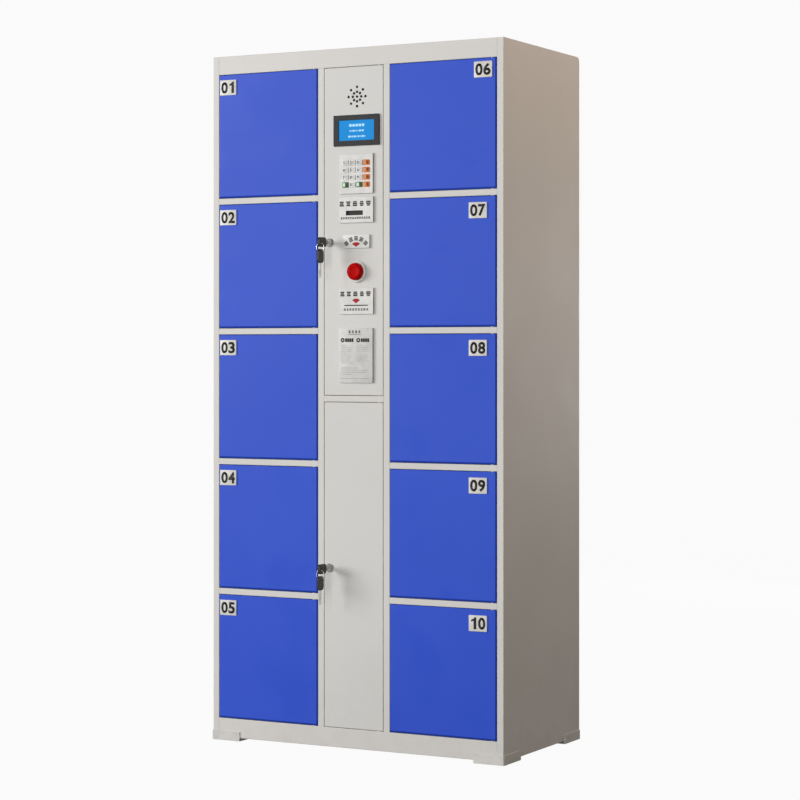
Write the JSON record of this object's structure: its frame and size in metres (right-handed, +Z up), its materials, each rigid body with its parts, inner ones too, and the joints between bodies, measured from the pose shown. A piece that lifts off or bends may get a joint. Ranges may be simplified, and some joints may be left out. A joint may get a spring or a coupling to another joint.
{
  "type": "electric locker cabinet",
  "caption": "Steel locker cabinet with blue electric lockers on both sides and a middle column of control door and service door with keys in their cam locks.",
  "frame": {"origin": "on the floor under the middle of the steel body", "axes": "+Z up, -Y to the front with the doors, +X to the right as seen from the front"},
  "size_m": [0.855, 0.524, 1.8],
  "materials": {
    "frame_paint": "satin",
    "panel_paint": "satin",
    "door_paint": "satin",
    "zinc_steel": "satin",
    "chrome": "polished",
    "nylon": "matte",
    "foot_plastic": "matte",
    "white_plastic": "semi-gloss",
    "black_plastic": "satin",
    "black_rubber": "matte",
    "screen": "gloss",
    "red_plastic": "gloss",
    "key_grey": "satin",
    "key_orange": "satin",
    "key_green": "satin",
    "circuit_board": "semi-gloss"
  },
  "bodies": {
    "cabinet": {"left_side_panel": "frame_paint", "right_side_panel": "frame_paint", "top_panel": "frame_paint", "base_plinth": "frame_paint", "back_panel": "frame_paint", "left_partition": "frame_paint", "right_partition": "frame_paint", "locker_shelves": "frame_paint", "bay_divider": "frame_paint", "corner_feet": "foot_plastic", "lock_cases": "zinc_steel", "hinge_pins": "zinc_steel", "hinge_washers": "nylon", "power_supply": "zinc_steel", "control_board": "circuit_board", "cable_grommet": "black_rubber"},
    "control_door": {"control_door": "panel_paint", "display_bezel": "black_plastic", "display_screen": "screen", "speaker": "black_plastic", "keypad_housing": "white_plastic", "scan_plate": "white_plastic", "barcode_scanner": "black_plastic", "ticket_plate": "white_plastic", "ticket_printer": "black_plastic", "button_collar": "white_plastic", "control_lock_body": "chrome"},
    "service_door": {"service_door": "panel_paint", "service_lock_body": "chrome"},
    "control_lock": {"control_lock_key": "chrome"},
    "service_lock": {"service_lock_key": "chrome"},
    "control_spare_key": {"control_spare_key": "black_plastic"},
    "service_spare_key": {"service_spare_key": "black_plastic"},
    "store_button": {"store_button": "red_plastic"},
    "locker_door_01": {"locker_door_01": "door_paint"},
    "locker_door_02": {"locker_door_02": "door_paint"},
    "locker_door_03": {"locker_door_03": "door_paint"},
    "locker_door_04": {"locker_door_04": "door_paint"},
    "locker_door_05": {"locker_door_05": "door_paint"},
    "locker_door_06": {"locker_door_06": "door_paint"},
    "locker_door_07": {"locker_door_07": "door_paint"},
    "locker_door_08": {"locker_door_08": "door_paint"},
    "locker_door_09": {"locker_door_09": "door_paint"},
    "locker_door_10": {"locker_door_10": "door_paint"},
    "key_1": {"key_1": "key_grey"},
    "key_2": {"key_2": "key_grey"},
    "key_3": {"key_3": "key_grey"},
    "key_back": {"key_back": "key_orange"},
    "key_4": {"key_4": "key_grey"},
    "key_5": {"key_5": "key_grey"},
    "key_6": {"key_6": "key_grey"},
    "key_clear": {"key_clear": "key_orange"},
    "key_7": {"key_7": "key_grey"},
    "key_8": {"key_8": "key_grey"},
    "key_9": {"key_9": "key_grey"},
    "key_menu": {"key_menu": "key_orange"},
    "key_down": {"key_down": "key_green"},
    "key_0": {"key_0": "key_grey"},
    "key_up": {"key_up": "key_green"},
    "key_enter": {"key_enter": "key_orange"}
  },
  "joints": [
    {"name": "locker_door_01_hinge", "type": "hinge", "parent": "cabinet", "child": "locker_door_01", "pos_m": [-0.119, -0.226, 1.589], "axis": [0, 0, 1], "range_deg": [0, 105]},
    {"name": "locker_door_02_hinge", "type": "hinge", "parent": "cabinet", "child": "locker_door_02", "pos_m": [-0.119, -0.226, 1.247], "axis": [0, 0, 1], "range_deg": [0, 105]},
    {"name": "locker_door_03_hinge", "type": "hinge", "parent": "cabinet", "child": "locker_door_03", "pos_m": [-0.119, -0.226, 0.905], "axis": [0, 0, 1], "range_deg": [0, 105]},
    {"name": "locker_door_04_hinge", "type": "hinge", "parent": "cabinet", "child": "locker_door_04", "pos_m": [-0.119, -0.226, 0.563], "axis": [0, 0, 1], "range_deg": [0, 105]},
    {"name": "locker_door_05_hinge", "type": "hinge", "parent": "cabinet", "child": "locker_door_05", "pos_m": [-0.119, -0.226, 0.221], "axis": [0, 0, 1], "range_deg": [0, 105]},
    {"name": "locker_door_06_hinge", "type": "hinge", "parent": "cabinet", "child": "locker_door_06", "pos_m": [0.393, -0.226, 1.589], "axis": [0, 0, 1], "range_deg": [0, 105]},
    {"name": "locker_door_07_hinge", "type": "hinge", "parent": "cabinet", "child": "locker_door_07", "pos_m": [0.393, -0.226, 1.247], "axis": [0, 0, 1], "range_deg": [0, 105]},
    {"name": "locker_door_08_hinge", "type": "hinge", "parent": "cabinet", "child": "locker_door_08", "pos_m": [0.393, -0.226, 0.905], "axis": [0, 0, 1], "range_deg": [0, 105]},
    {"name": "locker_door_09_hinge", "type": "hinge", "parent": "cabinet", "child": "locker_door_09", "pos_m": [0.393, -0.226, 0.563], "axis": [0, 0, 1], "range_deg": [0, 105]},
    {"name": "locker_door_10_hinge", "type": "hinge", "parent": "cabinet", "child": "locker_door_10", "pos_m": [0.393, -0.226, 0.221], "axis": [0, 0, 1], "range_deg": [0, 105]},
    {"name": "control_door_hinge", "type": "hinge", "parent": "cabinet", "child": "control_door", "pos_m": [0.073, -0.226, 1.331], "axis": [0, 0, 1], "range_deg": [0, 105]},
    {"name": "service_door_hinge", "type": "hinge", "parent": "cabinet", "child": "service_door", "pos_m": [0.073, -0.226, 0.476], "axis": [0, 0, 1], "range_deg": [0, 105]},
    {"name": "control_lock_turn", "type": "hinge", "parent": "control_door", "child": "control_lock", "pos_m": [-0.07, -0.233, 1.3025], "axis": [0, 1, 0], "range_deg": [0, 90]},
    {"name": "control_spare_key_hang", "type": "hinge", "parent": "control_lock", "child": "control_spare_key", "pos_m": [-0.07, -0.279, 1.28922], "axis": [0, 1, 0], "range_deg": [-90, 0]},
    {"name": "service_lock_turn", "type": "hinge", "parent": "service_door", "child": "service_lock", "pos_m": [-0.07, -0.233, 0.4675], "axis": [0, 1, 0], "range_deg": [0, 90]},
    {"name": "service_spare_key_hang", "type": "hinge", "parent": "service_lock", "child": "service_spare_key", "pos_m": [-0.07, -0.279, 0.45422], "axis": [0, 1, 0], "range_deg": [-90, 0]},
    {"name": "key_1_press", "type": "slide", "parent": "control_door", "child": "key_1", "axis": [0, 1, 0], "range_m": [0, 0.0012], "stiffness_N_per_m": 400, "springref_m": -0.0005},
    {"name": "key_2_press", "type": "slide", "parent": "control_door", "child": "key_2", "axis": [0, 1, 0], "range_m": [0, 0.0012], "stiffness_N_per_m": 400, "springref_m": -0.0005},
    {"name": "key_3_press", "type": "slide", "parent": "control_door", "child": "key_3", "axis": [0, 1, 0], "range_m": [0, 0.0012], "stiffness_N_per_m": 400, "springref_m": -0.0005},
    {"name": "key_back_press", "type": "slide", "parent": "control_door", "child": "key_back", "axis": [0, 1, 0], "range_m": [0, 0.0012], "stiffness_N_per_m": 400, "springref_m": -0.0005},
    {"name": "key_4_press", "type": "slide", "parent": "control_door", "child": "key_4", "axis": [0, 1, 0], "range_m": [0, 0.0012], "stiffness_N_per_m": 400, "springref_m": -0.0005},
    {"name": "key_5_press", "type": "slide", "parent": "control_door", "child": "key_5", "axis": [0, 1, 0], "range_m": [0, 0.0012], "stiffness_N_per_m": 400, "springref_m": -0.0005},
    {"name": "key_6_press", "type": "slide", "parent": "control_door", "child": "key_6", "axis": [0, 1, 0], "range_m": [0, 0.0012], "stiffness_N_per_m": 400, "springref_m": -0.0005},
    {"name": "key_clear_press", "type": "slide", "parent": "control_door", "child": "key_clear", "axis": [0, 1, 0], "range_m": [0, 0.0012], "stiffness_N_per_m": 400, "springref_m": -0.0005},
    {"name": "key_7_press", "type": "slide", "parent": "control_door", "child": "key_7", "axis": [0, 1, 0], "range_m": [0, 0.0012], "stiffness_N_per_m": 400, "springref_m": -0.0005},
    {"name": "key_8_press", "type": "slide", "parent": "control_door", "child": "key_8", "axis": [0, 1, 0], "range_m": [0, 0.0012], "stiffness_N_per_m": 400, "springref_m": -0.0005},
    {"name": "key_9_press", "type": "slide", "parent": "control_door", "child": "key_9", "axis": [0, 1, 0], "range_m": [0, 0.0012], "stiffness_N_per_m": 400, "springref_m": -0.0005},
    {"name": "key_menu_press", "type": "slide", "parent": "control_door", "child": "key_menu", "axis": [0, 1, 0], "range_m": [0, 0.0012], "stiffness_N_per_m": 400, "springref_m": -0.0005},
    {"name": "key_down_press", "type": "slide", "parent": "control_door", "child": "key_down", "axis": [0, 1, 0], "range_m": [0, 0.0012], "stiffness_N_per_m": 400, "springref_m": -0.0005},
    {"name": "key_0_press", "type": "slide", "parent": "control_door", "child": "key_0", "axis": [0, 1, 0], "range_m": [0, 0.0012], "stiffness_N_per_m": 400, "springref_m": -0.0005},
    {"name": "key_up_press", "type": "slide", "parent": "control_door", "child": "key_up", "axis": [0, 1, 0], "range_m": [0, 0.0012], "stiffness_N_per_m": 400, "springref_m": -0.0005},
    {"name": "key_enter_press", "type": "slide", "parent": "control_door", "child": "key_enter", "axis": [0, 1, 0], "range_m": [0, 0.0012], "stiffness_N_per_m": 400, "springref_m": -0.0005},
    {"name": "store_button_press", "type": "slide", "parent": "control_door", "child": "store_button", "axis": [0, 1, 0], "range_m": [0, 0.003], "stiffness_N_per_m": 900, "springref_m": -0.001}
  ],
  "couplings": [
    {"joint": "control_spare_key_hang", "follows": "control_lock_turn", "ratio": -1},
    {"joint": "service_spare_key_hang", "follows": "service_lock_turn", "ratio": -1}
  ]
}
